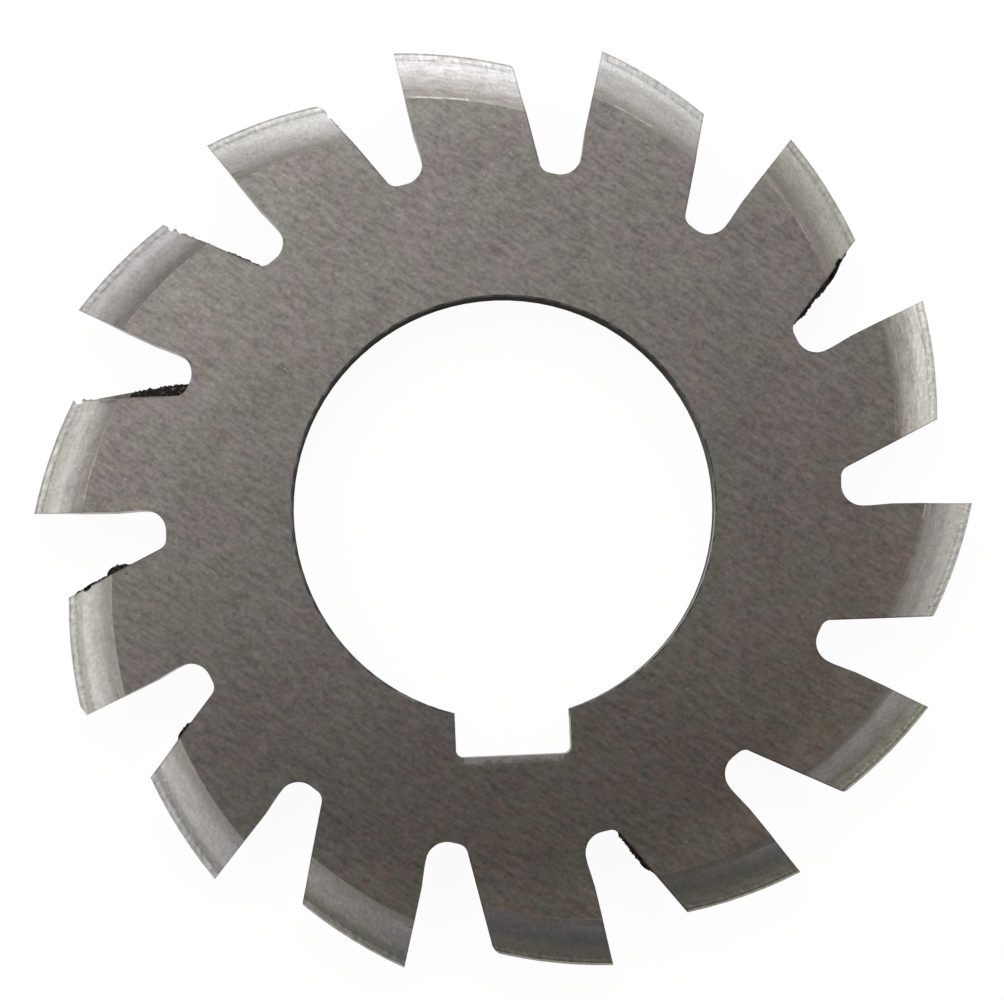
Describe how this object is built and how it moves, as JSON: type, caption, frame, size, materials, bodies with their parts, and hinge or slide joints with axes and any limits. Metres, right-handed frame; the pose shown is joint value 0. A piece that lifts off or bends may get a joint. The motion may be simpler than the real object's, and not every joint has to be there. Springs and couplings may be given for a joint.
{
  "type": "involute gear cutter",
  "caption": "Disc-shaped, form-relieved involute gear milling cutter with radial cutting faces, V gashes and a keyed bore.",
  "frame": {"origin": "on the bore axis, in the cutter's middle plane", "axes": "+Z along the bore axis, out of the side shown in the picture; -Y towards the keyway"},
  "size_m": [0.049, 0.048, 0.004],
  "materials": {
    "ground_tool_steel": "ground high-speed steel, satin, worn, with bright form-relieved teeth"
  },
  "bodies": {
    "root": {"gear_cutter": "ground_tool_steel"}
  },
  "joints": []
}
